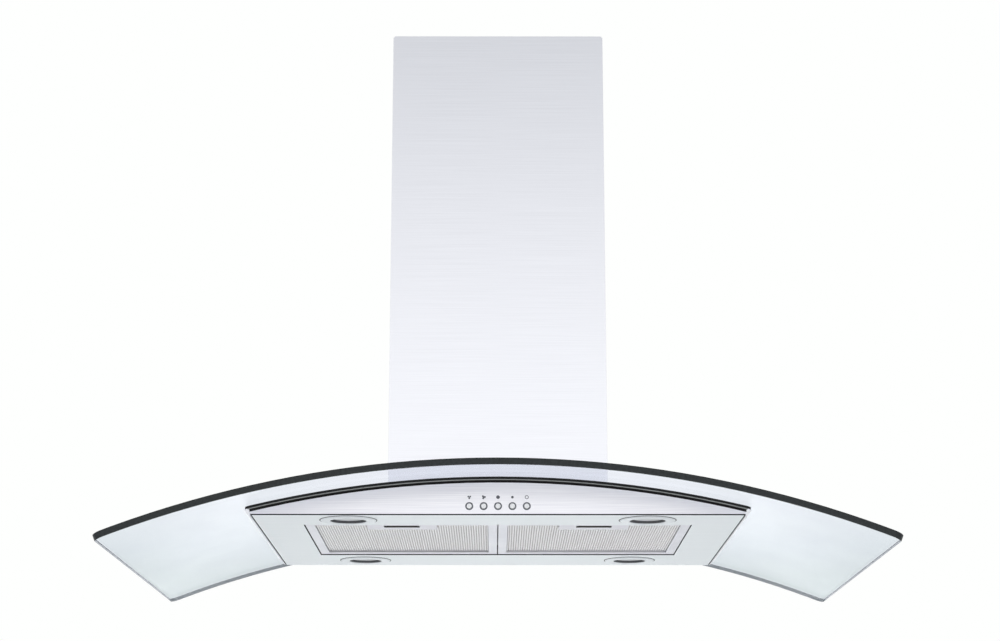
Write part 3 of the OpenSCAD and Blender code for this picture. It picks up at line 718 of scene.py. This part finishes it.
def pale_room():
    """A plain pale floor far below and two soft walls. The eye sees the walls as plain white."""
    bpy.ops.object.select_all(action="DESELECT")
    bpy.ops.mesh.primitive_plane_add(size=60, location=(0, 0, FLOOR_Z))
    floor = bpy.context.object
    floor.name = "floor"
    material, shader = new_material("pale_floor", Roughness=0.8)
    patches = grain(material, "", 700, detail=1.0)
    tints = [(0.3, "F3F4F4"), (0.7, "F5F6F6")]
    tone = add_node(material, "ShaderNodeValToRGB", [(patches.outputs["Fac"], "Fac")], stops=tints)
    material.node_tree.links.new(tone.outputs["Color"], shader.inputs["Base Color"])
    floor.data.materials.append(material)

    world = bpy.data.worlds.new("studio")
    bpy.context.scene.world = world
    world.use_nodes = True
    world.node_tree.nodes.remove(world.node_tree.nodes["Background"])
    coords = add_node(world, "ShaderNodeTexCoord")
    way = add_node(world, "ShaderNodeSeparateXYZ", [(coords.outputs["Generated"], "Vector")])
    height, depth = way.outputs["Z"], way.outputs["Y"]
    # Both walls are brightest a little above level and fade overhead.
    front = add_node(world, "ShaderNodeValToRGB", [(height, "Fac")], stops=FRONT_WALL)
    back = add_node(world, "ShaderNodeValToRGB", [(height, "Fac")], stops=BACK_WALL)
    front_light = add_node(world, "ShaderNodeBackground", [(front.outputs["Color"], "Color")], Strength=1.4)
    back_light = add_node(world, "ShaderNodeBackground", [(back.outputs["Color"], "Color")], Strength=1.1)
    side = add_node(world, "ShaderNodeMapRange", [(depth, "Value")], From_Min=-0.3, From_Max=0.3)
    walls = add_node(
        world,
        "ShaderNodeMixShader",
        [(side.outputs["Result"], 0), (front_light.outputs[0], 1), (back_light.outputs[0], 2)],
    )
    plain = add_node(world, "ShaderNodeBackground", Color=hex_to_linear("FEFFFE"), Strength=1.0)
    seen = add_node(world, "ShaderNodeLightPath")
    room = add_node(
        world,
        "ShaderNodeMixShader",
        [(seen.outputs["Is Camera Ray"], 0), (walls.outputs[0], 1), (plain.outputs[0], 2)],
    )
    world.node_tree.links.new(room.outputs[0], world.node_tree.nodes["World Output"].inputs["Surface"])


def softbox(name, place, aim, size, power):
    """A square soft light that shows neither to the eye nor in the steel and glass."""
    data = bpy.data.lights.new(name, "AREA")
    data.size = size
    data.energy = power
    lamp = bpy.data.objects.new(name, data)
    lamp.location = place
    lamp.rotation_euler = (Vector(aim) - Vector(place)).to_track_quat("-Z", "Y").to_euler()
    lamp.visible_camera = False
    lamp.visible_glossy = False
    lamp.visible_transmission = False
    bpy.context.scene.collection.objects.link(lamp)


def studio_lights():
    """A bright pool on the floor that the underside mirrors, and wide washes behind and in front."""
    softbox("floor_pool", (0, 9.0, -1.0), (0, 9.0, FLOOR_Z), 1.0, 50)
    softbox("rear_wash", (0, 5.0, 2.0), (0, 7.0, FLOOR_Z), 5.0, 50)
    softbox("front_wash", (0, -5.0, 2.0), (0, -5.0, FLOOR_Z), 5.0, 110)


def camera():
    data = bpy.data.cameras.new("camera")
    data.lens = EYE_LENS
    data.sensor_width = 36
    eye = bpy.data.objects.new("camera", data)
    eye.location = EYE
    eye.rotation_euler = (math.radians(90 + EYE_PITCH), 0, math.radians(EYE_YAW))
    bpy.context.scene.collection.objects.link(eye)
    bpy.context.scene.camera = eye


chimney_covers()
body_sheets()
canopy_sheet()
lamps()
controls()
grease_filter("left")
grease_filter("right")
inner_parts()
pale_room()
studio_lights()
camera()
bpy.context.scene.view_settings.view_transform = "Standard"
